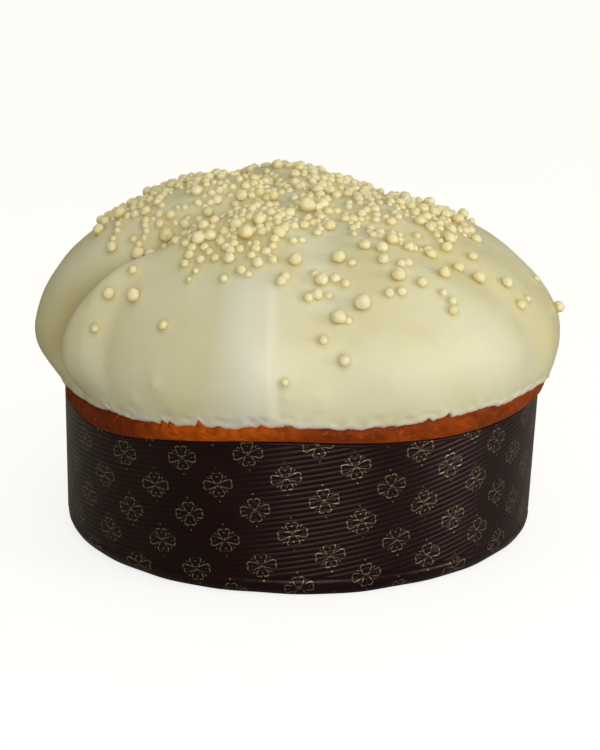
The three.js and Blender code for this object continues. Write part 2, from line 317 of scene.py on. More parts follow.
def socket_group(name, inputs, outputs):
    """A shader node group with named sockets; inputs and outputs are (name, kind, default) rows."""
    group = bpy.data.node_groups.new(name, "ShaderNodeTree")
    for title, kind, default in inputs:
        socket = group.interface.new_socket(title, in_out="INPUT", socket_type="NodeSocket" + kind)
        if default is not None:
            socket.default_value = default
    for title, kind in outputs:
        group.interface.new_socket(title, in_out="OUTPUT", socket_type="NodeSocket" + kind)
    return group, group.nodes.new("NodeGroupInput"), group.nodes.new("NodeGroupOutput")


def feed(tree, socket, value):
    """Links an output to a socket, or sets a plain number, colour or vector on it."""
    if isinstance(value, bpy.types.NodeSocket):
        tree.links.new(value, socket)
    elif value is not None:
        socket.default_value = value


def sum_node(tree, operation, first, second=None, third=None):
    node = tree.nodes.new("ShaderNodeMath")
    node.operation = operation
    for socket, value in zip(node.inputs, (first, second, third)):
        feed(tree, socket, value)
    return node.outputs[0]


def vector_node(tree, operation, first, second=None, scale=None):
    node = tree.nodes.new("ShaderNodeVectorMath")
    node.operation = operation
    feed(tree, node.inputs[0], first)
    feed(tree, node.inputs[1], second)
    feed(tree, node.inputs[3], scale)
    gives_number = operation in ("LENGTH", "DOT_PRODUCT", "DISTANCE")
    return node.outputs["Value" if gives_number else "Vector"]


def ramp_node(tree, value, low, high, to_low=0.0, to_high=1.0):
    """A smooth step from one value to another."""
    node = tree.nodes.new("ShaderNodeMapRange")
    node.interpolation_type = "SMOOTHSTEP"
    for socket, number in zip(node.inputs, (value, low, high, to_low, to_high)):
        feed(tree, socket, number)
    return node.outputs["Result"]


def noise_node(tree, place, scale, detail=2.0, roughness=0.5):
    node = tree.nodes.new("ShaderNodeTexNoise")
    for title, value in (("Vector", place), ("Scale", scale), ("Detail", detail), ("Roughness", roughness)):
        feed(tree, node.inputs[title], value)
    return node.outputs["Fac"]


def tint_node(tree, share, first, second):
    node = tree.nodes.new("ShaderNodeMix")
    node.data_type = "RGBA"
    feed(tree, node.inputs["Factor"], share)
    feed(tree, node.inputs["A"], first)
    feed(tree, node.inputs["B"], second)
    return node.outputs["Result"]


def bump_node(tree, height, strength, distance):
    node = tree.nodes.new("ShaderNodeBump")
    node.inputs["Strength"].default_value = strength
    node.inputs["Distance"].default_value = distance
    feed(tree, node.inputs["Height"], height)
    return node.outputs["Normal"]


# Uneven tone of paper, crust and chocolate: slow clouds, and a grain that is far finer.
mottling, mottling_in, mottling_out = socket_group(
    "mottling",
    [("Place", "Vector", None), ("Cloud Scale", "Float", 20.0), ("Grain Scale", "Float", 400.0)],
    [("Cloud", "Float"), ("Grain", "Float")])
mottling_place = mottling_in.outputs["Place"]
mottling_cloud = noise_node(mottling, mottling_place, mottling_in.outputs["Cloud Scale"], 4.0, 0.55)
mottling_grain = noise_node(mottling, mottling_place, mottling_in.outputs["Grain Scale"], 3.0, 0.6)
feed(mottling, mottling_out.inputs["Cloud"], ramp_node(mottling, mottling_cloud, 0.34, 0.66))
feed(mottling, mottling_out.inputs["Grain"], mottling_grain)


def mottled(tree, place, cloud_scale, grain_scale):
    """The mottling group placed in a material, as its cloud and its grain."""
    node = tree.nodes.new("ShaderNodeGroup")
    node.node_tree = mottling
    feed(tree, node.inputs["Place"], place)
    node.inputs["Cloud Scale"].default_value = cloud_scale
    node.inputs["Grain Scale"].default_value = grain_scale
    return node.outputs["Cloud"], node.outputs["Grain"]


def new_finish(name):
    """A material with its node tree, its Principled shader and its Object coordinates."""
    finish = bpy.data.materials.new(name)
    finish.use_nodes = True
    tree = finish.node_tree
    return finish, tree, tree.nodes["Principled BSDF"], tree.nodes.new("ShaderNodeTexCoord").outputs["Object"]


# The flower print, in millimetres round and up the wall: staggered rows that climb with the ribs.
FLOWERS_ROUND = 24
FLOWER_ROWS_ROUND = 8
FLOWER_START = (-6.0, 49.8)
OUTER_DOT = 6.7
RAY_ANGLE = math.radians(40)
flower_step = wall_round * math.cos(RIB_CLIMB) / FLOWERS_ROUND
flower_row = wall_round * math.sin(RIB_CLIMB) / FLOWER_ROWS_ROUND

flower_print, flower_in, flower_out = socket_group(
    "flower_print",
    [("Place", "Vector", None), ("Line", "Float", 0.12), ("Softness", "Float", 0.12)],
    [("Ink", "Float"), ("Rib", "Float")])
t = flower_print
centred = vector_node(t, "SUBTRACT", flower_in.outputs["Place"], (*FLOWER_START, 0.0))
turned = t.nodes.new("ShaderNodeVectorRotate")
turned.rotation_type = "Z_AXIS"
turned.inputs["Angle"].default_value = -RIB_CLIMB
t.links.new(centred, turned.inputs["Vector"])
split = t.nodes.new("ShaderNodeSeparateXYZ")
t.links.new(turned.outputs["Vector"], split.inputs[0])
row_number = sum_node(t, "ROUND", sum_node(t, "DIVIDE", split.outputs["Y"], flower_row))
cell_y = sum_node(t, "MULTIPLY_ADD", row_number, -flower_row, split.outputs["Y"])
stagger = sum_node(t, "MULTIPLY", sum_node(t, "FLOORED_MODULO", row_number, 2.0), flower_step / 2)
staggered = sum_node(t, "ADD", split.outputs["X"], stagger)
column = sum_node(t, "ROUND", sum_node(t, "DIVIDE", staggered, flower_step))
cell_x = sum_node(t, "MULTIPLY_ADD", column, -flower_step, staggered)
across = sum_node(t, "ABSOLUTE", cell_x)
upward = sum_node(t, "ABSOLUTE", cell_y)


def place_of(x, y):
    node = t.nodes.new("ShaderNodeCombineXYZ")
    feed(t, node.inputs["X"], x)
    feed(t, node.inputs["Y"], y)
    return node.outputs[0]


def inked(distance, half):
    """1 where the distance from a line's middle is under its half width."""
    beyond = sum_node(t, "SUBTRACT", distance, half)
    return ramp_node(t, sum_node(t, "DIVIDE", beyond, flower_in.outputs["Softness"]), 0.0, 1.0, 1.0, 0.0)


def petal_outline(along, side, lobe, lobe_radius, bulge, opening):
    """Half a heart-shaped petal: a side that swings out from the flower's middle, and a round lobe."""
    tip = Vector((0.3, 0.12, 0.0))
    axis = Vector((*lobe, 0.0)) - tip
    from_tip = vector_node(t, "SUBTRACT", place_of(along, side), tuple(tip))
    share = sum_node(t, "DIVIDE", vector_node(t, "DOT_PRODUCT", from_tip, tuple(axis)), axis.length_squared)
    share = sum_node(t, "MINIMUM", sum_node(t, "MAXIMUM", share, 0.0), 1.0)
    off_spine = vector_node(t, "LENGTH", vector_node(t, "SUBTRACT", from_tip,
                                                     vector_node(t, "SCALE", tuple(axis), scale=share)))
    off_line = sum_node(t, "ABSOLUTE", sum_node(t, "MULTIPLY_ADD", sum_node(t, "POWER", share, bulge),
                                                -lobe_radius, off_spine))
    half_width = sum_node(t, "MULTIPLY", ramp_node(t, share, 0.2, 1.0, 0.6, 1.2), flower_in.outputs["Line"])
    outer_side = sum_node(t, "GREATER_THAN", side, sum_node(t, "MULTIPLY_ADD", share, axis.y, tip.y))
    past_lobe = sum_node(t, "GREATER_THAN", along, lobe[0] + opening)
    shown = sum_node(t, "MAXIMUM", outer_side, past_lobe)
    return sum_node(t, "MULTIPLY", inked(off_line, half_width), shown)


def dot_at(x, y, half):
    return inked(vector_node(t, "DISTANCE", place_of(across, upward), (x, y, 0.0)), half)


radius = vector_node(t, "LENGTH", place_of(across, upward))
angle = sum_node(t, "ARCTAN2", upward, across)
off_ray = sum_node(t, "ABSOLUTE", sum_node(t, "SUBTRACT", angle, RAY_ANGLE))
off_ray = sum_node(t, "MULTIPLY", off_ray, radius)
ray_span = inked(sum_node(t, "ABSOLUTE", sum_node(t, "SUBTRACT", radius, 4.6)), 0.55)
tick_span = inked(sum_node(t, "ABSOLUTE", sum_node(t, "SUBTRACT", upward, 0.6)), 0.45)
flower_marks = [
    petal_outline(across, upward, (4.7, 0.82), 1.1, 0.5, 0.5),
    petal_outline(upward, across, (3.6, 1.3), 1.1, 0.4, 0.75),
    dot_at(0.0, 3.3, 0.26),
    sum_node(t, "MULTIPLY", dot_at(4.1, 0.0, 0.15), 0.6),
    dot_at(flower_step / 2, flower_row - OUTER_DOT, 0.26),
    sum_node(t, "MULTIPLY", inked(off_ray, 0.07), ray_span),
    sum_node(t, "MULTIPLY", inked(across, 0.06), tick_span),
]
ink = flower_marks[0]
for mark in flower_marks[1:]:
    ink = sum_node(t, "MAXIMUM", ink, mark)
rib_turn = sum_node(t, "MULTIPLY", split.outputs["Y"], math.pi / (rib_pitch * math.cos(RIB_CLIMB)))
rib_start = math.pi * (FLOWER_START[1] - FLOWER_START[0] * math.tan(RIB_CLIMB)) / rib_pitch
rib_wave = sum_node(t, "SINE", sum_node(t, "ADD", rib_turn, rib_start))
t.links.new(ink, flower_out.inputs["Ink"])
t.links.new(sum_node(t, "POWER", sum_node(t, "ABSOLUTE", rib_wave), RIB_SHARPNESS), flower_out.inputs["Rib"])

PAPER_DARK = (0.0040, 0.0012, 0.0012, 1.0)
PAPER_BROWN = (0.0085, 0.0027, 0.0026, 1.0)
PAPER_GROOVE_SHADE = (0.0025, 0.0010, 0.0010, 1.0)
PALE_GOLD = (0.31, 0.25, 0.16, 1.0)
GOLD_METAL = 0.80

paper, t, paper_bsdf, paper_place = new_finish("ribbed_paper")
paper_bsdf.inputs["Specular IOR Level"].default_value = 0.31
paper_bsdf.inputs["Specular Tint"].default_value = (1.0, 0.56, 0.55, 1.0)
print_uv = t.nodes.new("ShaderNodeUVMap")
print_uv.uv_map = "print_mm"
printed = t.nodes.new("ShaderNodeGroup")
printed.node_tree = flower_print
t.links.new(print_uv.outputs["UV"], printed.inputs["Place"])
paper_cloud, paper_fibre = mottled(t, paper_place, 38.0, 1400.0)
speck = noise_node(t, print_uv.outputs["UV"], 1.1, 3.0, 0.7)
ink_hold = sum_node(t, "MULTIPLY", ramp_node(t, speck, 0.34, 0.56, 0.30, 1.0),
                    ramp_node(t, printed.outputs["Rib"], 0.15, 0.6, 1.0, 0.12))
ground = tint_node(t, paper_cloud, PAPER_DARK, PAPER_BROWN)
# Painted shade: the paper is darker in the narrow grooves between the ribs.
ground = tint_node(t, ramp_node(t, printed.outputs["Rib"], 0.3, 0.95), ground, PAPER_GROOVE_SHADE)
ink_share = sum_node(t, "MULTIPLY", printed.outputs["Ink"], ink_hold)
t.links.new(tint_node(t, ink_share, ground, PALE_GOLD), paper_bsdf.inputs["Base Color"])
t.links.new(sum_node(t, "MULTIPLY", ink_share, GOLD_METAL), paper_bsdf.inputs["Metallic"])
t.links.new(ramp_node(t, paper_fibre, 0.3, 0.7, 0.27, 0.37), paper_bsdf.inputs["Roughness"])
t.links.new(bump_node(t, paper_fibre, 0.2, 0.0001), paper_bsdf.inputs["Normal"])

mould = finished_piece(mould_form, "ribbed_mould", paper)
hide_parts("paper_mould")

# Bread
# One loaf of rich dough, proved and baked in the mould until it domes over the rim, browned where it is bare.
# It fills the mould, and only a wrinkled band of crust shows between the paper and the icing.
GAP = 0.3
DOME_RADIUS = 112.0
DOME_WIDEST_Z = 86.0
CAP_HEIGHT = 63.5
LOW_HEIGHT = 56.8
CAP_LEAN = -8.7
DOME_SHIFT = 2.0
CROSS = (5.0, -20.0)
CREASES = [
    {"heading": -55, "curl": -20.5, "depth": 9.5, "near": 5.5, "far": 14, "lip": 1.7, "foot": -22},
    {"heading": 10, "curl": -9, "depth": 2.2, "near": 13, "far": 15, "lip": 0.6, "foot": -16},
    {"heading": 42, "curl": 34, "depth": 2.0, "near": 10, "far": 10, "lip": 0.5, "foot": -16},
    {"heading": 138, "curl": 0, "depth": 8.2, "near": 23, "far": 14, "lip": 1.0, "foot": -16},
    {"heading": -148, "curl": 10, "depth": 1.5, "near": 9, "far": 13, "lip": 1.0, "foot": -16},
]
LOBES = [
    {"from": 138, "to": 212, "lift": 5.7},
    {"from": 212, "to": 306, "lift": 4.1},
]
CREASE_START = 34
CREASE_FOOT_FADE = 22
LIP_AT = 2.2
LIP_WIDTH = 1.3
LOBE_SHOULDER = 14
ICING_THICKNESS = 1.8
ICING_EDGE_Z = 68.6
ICING_EDGE_SLANT = 3.2
ICING_EDGE_LOBES = [(-13, 9, 1.4), (15, 10, -1.6)]
ICING_EDGE_RIPPLES = [(0.35, 16, 2.4), (0.3, 29, 0)]
EDGE_NOTCHES = [
    (-64, 1.3), (-48, 1.2), (-31, 2.4), (-29, 2.2), (-22, 2.8), (-9, 1.2), (-4, 2.0), (-3, 1.2),
    (9, 0.9), (26, 1.2), (31, 2.0), (58, 1.5),
]
EDGE_NOTCH_WIDTH = 0.6
CRUST_SUNK = 0.4
CRUST_INSET = 0.2
CRUST_BULGE = 0.8
CRUST_STEP_TILT = 0.6
CRUST_ROWS = 26
LOAF_FOOT_ROUND = 6.0
PALE_BAKES = [(-20, 16, 1.0), (38, 34, 0.35), (150, 50, 0.5)]
NOISE_ROUND = 34
BREAD_STEPS = 720


def scored_swell(x, y, tilt):
    """How far a crease or a lobe of the scored top sinks or lifts the dome at a point in plan."""
    dx, dy = x - CROSS[0], y - CROSS[1]
    reach, heading = math.hypot(dx, dy), math.atan2(dx, -dy)
    swell = 0.0
    for crease in CREASES:
        bend = crease["curl"] * (reach / DOME_RADIUS) ** 2
        off = heading - math.radians(crease["heading"] + bend)
        along = fade(0, CREASE_START, reach * math.cos(off))
        along *= fade(crease["foot"], crease["foot"] + CREASE_FOOT_FADE, tilt)
        if along > 0:
            side = reach * math.sin(off)
            width = crease["near"] if side > 0 else crease["far"]
            beyond = (abs(side) - LIP_AT * width) / (LIP_WIDTH * width)
            swell += along * (crease["lip"] * math.exp(-beyond ** 2)
                              - crease["depth"] * math.exp(-(side / width) ** 2))
    for lobe in LOBES:
        past_first = fade(0, LOBE_SHOULDER, reach * math.sin(heading - math.radians(lobe["from"])))
        past_last = fade(0, LOBE_SHOULDER, reach * math.sin(math.radians(lobe["to"]) - heading))
        swell += lobe["lift"] * past_first * past_last * fade(-16, 6, tilt)
    return swell


def dough_swell(x, y, z):
    """Slow unevenness of hand-shaped dough."""
    slow = 0.7 * math.sin(x / 21 + 1.1) * math.sin(y / 25 + 2.3)
    return slow + 0.35 * math.sin((x + 1.7 * y) / 13 + z / 17)


def dome_point(heading, tilt, sunk=0.0):
    """A point of the iced dome's outer skin, sunk along the profile by a depth."""
    angle = math.radians(tilt)
    ring = DOME_RADIUS * math.cos(angle)
    rise = (CAP_HEIGHT if tilt > 0 else LOW_HEIGHT) * math.sin(angle)
    plan_x, plan_y = ring * math.sin(heading), -ring * math.cos(heading)
    swell = scored_swell(plan_x, plan_y, tilt) + dough_swell(plan_x, plan_y, rise) - sunk
    shift = DOME_SHIFT + CAP_LEAN * (max(rise, 0.0) / CAP_HEIGHT) ** 2
    radius = max(ring + swell * math.cos(angle), 0.0)
    return round_z(radius, heading, DOME_WIDEST_Z + rise + swell * math.sin(angle)) + Vector((shift, 0, 0))


def noise_round(heading):
    """A point on the circle where noise is read round the loaf, so that it closes at the back."""
    return NOISE_ROUND * math.sin(heading), NOISE_ROUND * math.cos(heading)


def icing_edge_tilt(heading):
    """The icing's wavy lower edge with its small notches, as the dome's tilt at a heading."""
    slant = ICING_EDGE_SLANT * math.sin(heading + math.radians(20))
    x, y = noise_round(heading)
    torn = 0.60 * noise.noise(Vector((x * 0.8, y * 0.8, 0)))
    torn += 0.70 * noise.noise(Vector((x * 1.9, y * 1.9, 5)))
    torn += sum(depth * bell(heading, middle, EDGE_NOTCH_WIDTH) for middle, depth in EDGE_NOTCHES)
    height = ICING_EDGE_Z + slant + torn
    height += bells(heading, ICING_EDGE_LOBES) + waves(heading, ICING_EDGE_RIPPLES)
    return math.degrees(math.asin((height - DOME_WIDEST_Z) / LOW_HEIGHT))


def crust_relief(heading, height):
    """Wrinkles, puckers and small cracks of baked crust, in millimetres."""
    x, y = noise_round(heading)
    wrinkle = 0.60 * noise.noise(Vector((x * 0.35, y * 0.35, height * 0.12)))
    pucker = 0.40 * noise.noise(Vector((x * 1.1, y * 1.1, height * 0.35)))
    crack = abs(noise.noise(Vector((x * 0.55 + 9, y * 0.55 + height * 0.16, height * 0.05))))
    return wrinkle + pucker - 0.55 * (1 - fade(0.0, 0.07, crack))


bread_body = [
    (0.0, MOULD_FLOOR + GAP),
    (0.6 * foot_radius, MOULD_FLOOR + GAP),
    (foot_radius - MOULD_WALL - GAP - LOAF_FOOT_ROUND, MOULD_FLOOR + GAP),
    (foot_radius - MOULD_WALL - GAP, FOOT_HEIGHT + GAP),
]
bread_rows = [("body", step) for step in range(5)]
bread_rows += [("crust", step / CRUST_ROWS) for step in range(CRUST_ROWS + 1)]
bread_rows += [("iced", step / 16) for step in range(17)]


def bread_point(heading, row):
    part, share = bread_rows[row]
    rim = rim_height(heading) + GAP
    if part == "body":
        radius, height = (bread_body + [(MOULD_RADIUS - MOULD_WALL - GAP, rim)])[share]
        return mould_place(radius, heading, height)
    edge = icing_edge_tilt(heading)
    if part == "crust":
        foot = mould_place(MOULD_RADIUS - CRUST_INSET, heading, rim)
        place = foot.lerp(dome_point(heading, edge - CRUST_STEP_TILT, CRUST_SUNK), share)
        uneven = crust_relief(heading, place.z) * fade(0.0, 0.12, share) * (1 - fade(0.85, 1.0, share))
        return place + round_z(CRUST_BULGE * math.sin(math.pi * share) + uneven, heading, 0)
    return dome_point(heading, blend(edge, 90, share), ICING_THICKNESS + GAP)


bread_form = turned_rows(len(bread_rows), BREAD_STEPS)
pale_layer = bread_form.verts.layers.float.new("pale_bake")
for point in bread_form.verts:
    heading = heading_of(point)
    point[pale_layer] = bells(heading, PALE_BAKES)
    point.co = bread_point(heading, round(point.co.z))

CRUST_AMBER = (0.60, 0.110, 0.003, 1.0)
CRUST_CHESTNUT = (0.165, 0.023, 0.004, 1.0)
CRUST_DARK = (0.08, 0.012, 0.003, 1.0)

bread, t, bread_bsdf, bread_place = new_finish("browned_crust")
bread_bsdf.inputs["Specular IOR Level"].default_value = 0.08
bread_bsdf.inputs["Subsurface Weight"].default_value = 0.06
bread_bsdf.inputs["Subsurface Radius"].default_value = (0.004, 0.0015, 0.0006)
browning, pores = mottled(t, bread_place, 24.0, 900.0)
blister, speckle = mottled(t, bread_place, 170.0, 420.0)
pale_bake = t.nodes.new("ShaderNodeAttribute")
pale_bake.attribute_name = "pale_bake"
baked = sum_node(t, "MULTIPLY_ADD", pale_bake.outputs["Fac"], -0.85, 1.0)
baked = sum_node(t, "MULTIPLY", baked, ramp_node(t, browning, 0.0, 1.0, 0.75, 1.1))
brown = tint_node(t, baked, CRUST_AMBER, CRUST_CHESTNUT)
brown = tint_node(t, ramp_node(t, blister, 0.0, 0.45, 0.35, 0.0), brown, CRUST_DARK)
brown = tint_node(t, ramp_node(t, speckle, 0.56, 0.72, 0.0, 0.45), brown, CRUST_AMBER)
t.links.new(brown, bread_bsdf.inputs["Base Color"])
t.links.new(ramp_node(t, pores, 0.3, 0.7, 0.40, 0.60), bread_bsdf.inputs["Roughness"])
t.links.new(bump_node(t, sum_node(t, "ADD", blister, pores), 0.5, 0.0004), bread_bsdf.inputs["Normal"])

loaf = finished_piece(bread_form, "baked_loaf", bread)
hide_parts("loaf")

# Pearls
# Crunchy cereal pearls coated in white chocolate, 2 to 8 mm across, strewn on the wet icing so that they set
# in it: a dense cap in clumps with strays down the front. The solid model carries the 204 largest, a little
# faceted, and the rest are only here.
PEARL_COUNT = 540
PEARL_SEED = 20417
PEARL_SMALLEST = 1.2
PEARL_SPREAD = 1.7
PEARL_CLUMPED = 0.55
PEARL_FIELD_END = 92.0
PEARL_FIELD_TILT = 45.0
PEARL_FIELD_NOTCH = 13.0
PEARL_NOTCH_AT = (14, 16)
PEARL_FADE_BELOW = 4
PEARL_FADE_ABOVE = 5
PEARL_LIFT = 0.4
PEARL_DEEPEST = 1.2
PEARL_FACET_GROWTH = 1.1
PEARL_CLOSEST = 0.86
CRUMB_COUNT = 400
CRUMB_SMALLEST = 1.6
CRUMB_SPREAD = 0.8
CRUMB_CLUMPED = 0.7
CRUMB_CLOSEST = 0.70
PEARL_ROUND_FROM = 2.3
PEARL_TRIM = 0.12
PEARL_TRIM_FROM = 2.0
PEARL_TRIM_FULL = 3.2
SQUASH_LEAST = 0.86
SQUASH_SPREAD = 0.16
KNOBBLE, KNOBBLE_SCALE = 0.15, 1.1
FINE_KNOBBLE, FINE_KNOBBLE_SCALE = 0.07, 2.6
FOOT_SHADE_BAND = 0.35
FRONT_PEARLS = [
    (-72, 50, 3.1), (-72, 43, 2.9), (-62, 41, 2.5), (-54, 43, 3.1), (-54, 37, 2.1), (-44, 35, 1.9),
    (-47, 26, 2.5), (-40, 27, 3.2), (-50, 52, 3.4), (-30, 49, 3.2), (-27, 51, 2.7), (-15, 53, 3.6),
    (-4, 54, 3.1), (6, 59, 2.3), (10, 56, 1.9), (0, 44, 3.0), (-18, 49, 2.1), (-30, 43, 2.2),
    (-26, 42, 2.0), (-30, 40, 1.9), (-26, 38, 1.4), (-27, 35, 1.2), (-22, 43, 2.0), (-18, 43, 2.4),
    (-18, 36, 1.7), (-14, 39, 2.1), (-12, 38, 1.5), (-12, 45, 1.9), (-8, 47, 2.0), (-6, 44, 1.9),
    (-10, 42, 2.4), (-3, 38, 2.1), (-4, 36, 2.1), (5, 40, 1.7), (11, 68, 4.1), (-12, 59, 3.1),
    (16, 58, 2.6), (22, 48, 2.5), (32, 49, 3.0), (26, 46, 2.6), (36, 46, 2.4), (13, 45, 3.1),
    (16, 43, 1.6), (24, 42, 2.4), (28, 40, 1.9), (30, 40, 2.1), (25, 36, 3.1), (30, 33, 2.2),
    (42, 43, 2.5), (50, 44, 2.5), (54, 46, 2.8), (62, 49, 2.5), (55, 39, 2.1), (47, 37, 2.4),
    (38, 35, 2.8), (50, 32, 2.9), (58, 28, 2.4), (78, 24, 1.6), (34, 29, 1.6), (24, 31, 2.1),
    (21, 31, 2.1), (6, 37, 3.0), (10, 38, 2.1), (12, 36, 1.9), (4, 32, 2.4), (2, 31, 2.0),
    (7, 32, 1.6), (14, 28, 3.6), (8, 24, 3.3), (10, 23, 1.6), (4, 17, 1.8), (8, 10, 2.3),
    (-4, 3, 1.5), (35, 26, 1.9), (34, 23, 2.1), (58, 20, 2.2), (62, 21, 1.5), (-48, 14, 1.7),
    (-30, 19, 2.0), (79, 12, 2.9),
]


def seeded_draw(seed):
    """Park-Miller draws between 0 and 1, the same each time."""
    state = seed
    while True:
        state = (state * 16807) % 2147483647
        yield state / 2147483647


def dome_normal(heading, tilt):
    step = 0.5
    turn = math.radians(step / max(math.cos(math.radians(tilt)), 0.05))
    round_way = dome_point(heading + turn, tilt) - dome_point(heading - turn, tilt)
    up_way = dome_point(heading, min(tilt + step, 89.9)) - dome_point(heading, tilt - step)
    return round_way.cross(up_way).normalized()


def pearl_at(heading, tilt, radius):
    """A pearl's centre, radius and outward way, and its point in plan."""
    outward = dome_normal(heading, tilt)
    lift = max(PEARL_LIFT * radius, PEARL_FACET_GROWTH * radius - PEARL_DEEPEST)
    plan = round_z(DOME_RADIUS * math.cos(math.radians(tilt)), heading, 0)
    return dome_point(heading, tilt) + outward * lift, radius, outward, plan


def strew(placed, draw, count, smallest, spread, clumped_share, closest):
    """Adds draws over the field that keep clear of earlier pearls, a share of them rolled up to one."""
    while len(placed) < count:
        radius = smallest + spread * next(draw) ** 2
        turn = next(draw) * 2 * math.pi
        clumped = next(draw) < clumped_share
        keep, pick = next(draw), next(draw)
        plan = round_z(PEARL_FIELD_END * math.sqrt(pick), turn, 0)
        if clumped:
            neighbour = placed[math.floor(pick * len(placed))]
            plan = neighbour[3] + round_z(radius + neighbour[1], turn, 0)
        heading = math.atan2(plan.x, -plan.y)
        tilt = math.degrees(math.acos(min(plan.length / DOME_RADIUS, 1.0)))
        lowest = PEARL_FIELD_TILT + PEARL_FIELD_NOTCH * bell(heading, *PEARL_NOTCH_AT)
        if keep < fade(lowest - PEARL_FADE_BELOW, lowest + PEARL_FADE_ABOVE, tilt):
            pearl = pearl_at(heading, tilt, radius)
            if all((other[0] - pearl[0]).length > closest * (other[1] + radius) for other in placed):
                placed.append(pearl)


pearl_places = [pearl_at(math.radians(heading), tilt, radius) for heading, tilt, radius in FRONT_PEARLS]
pearl_draw = seeded_draw(PEARL_SEED)
strew(pearl_places, pearl_draw, PEARL_COUNT, PEARL_SMALLEST, PEARL_SPREAD, PEARL_CLUMPED, PEARL_CLOSEST)
strew(pearl_places, pearl_draw, PEARL_COUNT + CRUMB_COUNT, CRUMB_SMALLEST, CRUMB_SPREAD, CRUMB_CLUMPED,
      CRUMB_CLOSEST)

pearl_form = bmesh.new()
uneven = seeded_draw(PEARL_SEED + 1)
for centre, radius, outward, _ in pearl_places:
    tone = next(uneven)
    squash, phase = SQUASH_LEAST + SQUASH_SPREAD * next(uneven), 20 * next(uneven)
    size = radius * (1 - PEARL_TRIM * fade(PEARL_TRIM_FROM, PEARL_TRIM_FULL, radius))
    ball = bmesh.new()
    tone_layer = ball.verts.layers.float.new("tone")
    foot_shade_layer = ball.verts.layers.float.new("foot")
    bmesh.ops.create_icosphere(ball, subdivisions=3 if radius > PEARL_ROUND_FROM else 2, radius=1.0)
    for point in ball.verts:
        way = point.co.copy()
        height = way.dot(outward)
        knobble = size * (1 + KNOBBLE * noise.noise(way * KNOBBLE_SCALE + Vector((phase, 0, 0))))
        knobble += size * FINE_KNOBBLE * noise.noise(way * FINE_KNOBBLE_SCALE + Vector((0, phase, 0)))
        point.co = (way + outward * height * (squash - 1)) * knobble + centre
        point[tone_layer] = tone
        # Painted shade: the underside of each pearl, towards the icing, is marked to be darkened.
        point[foot_shade_layer] = 1 - fade(-FOOT_SHADE_BAND, FOOT_SHADE_BAND, height)
    ball_mesh = bpy.data.meshes.new("ball")
    ball.to_mesh(ball_mesh)
    ball.free()
    pearl_form.from_mesh(ball_mesh)
    bpy.data.meshes.remove(ball_mesh)

PEARL_PALE = (0.96, 0.89, 0.61, 1.0)
PEARL_BUTTER = (0.94, 0.84, 0.50, 1.0)
PEARL_TOASTED = (0.82, 0.66, 0.27, 1.0)
PEARL_FOOT_SHADE = (0.58, 0.44, 0.15, 1.0)

pearl_coat, t, pearl_bsdf, pearl_place = new_finish("pearl_coat")
pearl_bsdf.inputs["Subsurface Weight"].default_value = 0.30
pearl_bsdf.inputs["Subsurface Radius"].default_value = (0.003, 0.002, 0.0008)


def attribute_node(title):
    node = t.nodes.new("ShaderNodeAttribute")
    node.attribute_name = title
    return node.outputs["Fac"]


pearl_cloud, pearl_grain = mottled(t, pearl_place, 420.0, 1100.0)
pearl_colour = tint_node(t, attribute_node("tone"), PEARL_BUTTER, PEARL_PALE)
pearl_colour = tint_node(t, ramp_node(t, pearl_cloud, 0.0, 0.6, 0.35, 0.0), pearl_colour, PEARL_TOASTED)
# Painted shade: each pearl turns olive-brown low on its underside against the icing.
pearl_colour = tint_node(t, sum_node(t, "MULTIPLY", attribute_node("foot"), 0.75), pearl_colour, PEARL_FOOT_SHADE)
t.links.new(pearl_colour, pearl_bsdf.inputs["Base Color"])
t.links.new(ramp_node(t, pearl_grain, 0.3, 0.7, 0.34, 0.46), pearl_bsdf.inputs["Roughness"])
t.links.new(bump_node(t, pearl_grain, 0.3, 0.0002), pearl_bsdf.inputs["Normal"])

pearls = finished_piece(pearl_form, "chocolate_pearls", pearl_coat)
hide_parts("icing")

# Icing
# White chocolate icing, poured warm over the dome so that it runs down and sets before it reaches the paper.
# It is about 2 mm thick, ends in a rounded, ragged edge above the crust, and rises a little round each pearl.
ICING_STEPS = 720
ICING_ROWS = 112
EDGE_ROWS = 10
INSIDE_ROWS = 8
EDGE_ROUND = 0.6
EDGE_SWELL = 0.4
FOOT_RISE = 0.75
FOOT_REACH = 1.0
PEARL_SHADE_REACH = 1.3
RUNS = [
    (-4, -5, 4, 0.5), (3, -10, 1, 0.35), (-37, -12, -4, 0.4), (-31, -4, 6, 0.4), (-24, -8, 0, 0.3),
    (17, -2, 12, 0.3),
]
RUN_WIDTH = 1.3
PEARL_SINK = 0.92
NEAREST_PEARLS = 3

pearl_tree = kdtree.KDTree(len(pearl_places))
for number, pearl in enumerate(pearl_places):
    pearl_tree.insert(pearl[0], number)
pearl_tree.balance()

icing_rows = [("inside", 1 - step / INSIDE_ROWS) for step in range(INSIDE_ROWS + 1)]
icing_rows += [("edge", step / EDGE_ROWS) for step in range(1, EDGE_ROWS)]
icing_rows += [("outside", step / ICING_ROWS) for step in range(ICING_ROWS + 1)]

icing_form = turned_rows(len(icing_rows), ICING_STEPS)
edge_layer = icing_form.verts.layers.float.new("edge_nearness")
pearl_shade_layer = icing_form.verts.layers.float.new("pearl_foot_shade")
crease_shade_layer = icing_form.verts.layers.float.new("crease_painted_shade")
ridge_highlight_layer = icing_form.verts.layers.float.new("ridge_highlight")
edge_tilts = {}


def crease_painted_shade(place, tilt):
    """How much painted shade darkens the icing low in the deep crease at the left, whose far wall shows: 1
    there and 0 away from it.
    """
    crease = CREASES[0]
    dx, dy = place.x - CROSS[0], place.y - CROSS[1]
    reach = math.hypot(dx, dy)
    bend = crease["curl"] * (reach / DOME_RADIUS) ** 2
    off = math.atan2(dx, -dy) - math.radians(crease["heading"] + bend)
    width = (0.3 if math.sin(off) > 0 else 0.8) * crease["far"]
    low = fade(-12, -2, tilt) * (1 - 0.7 * fade(24, 44, tilt))
    return fade(20, 60, reach * math.cos(off)) * low * math.exp(-(reach * math.sin(off) / width) ** 2)


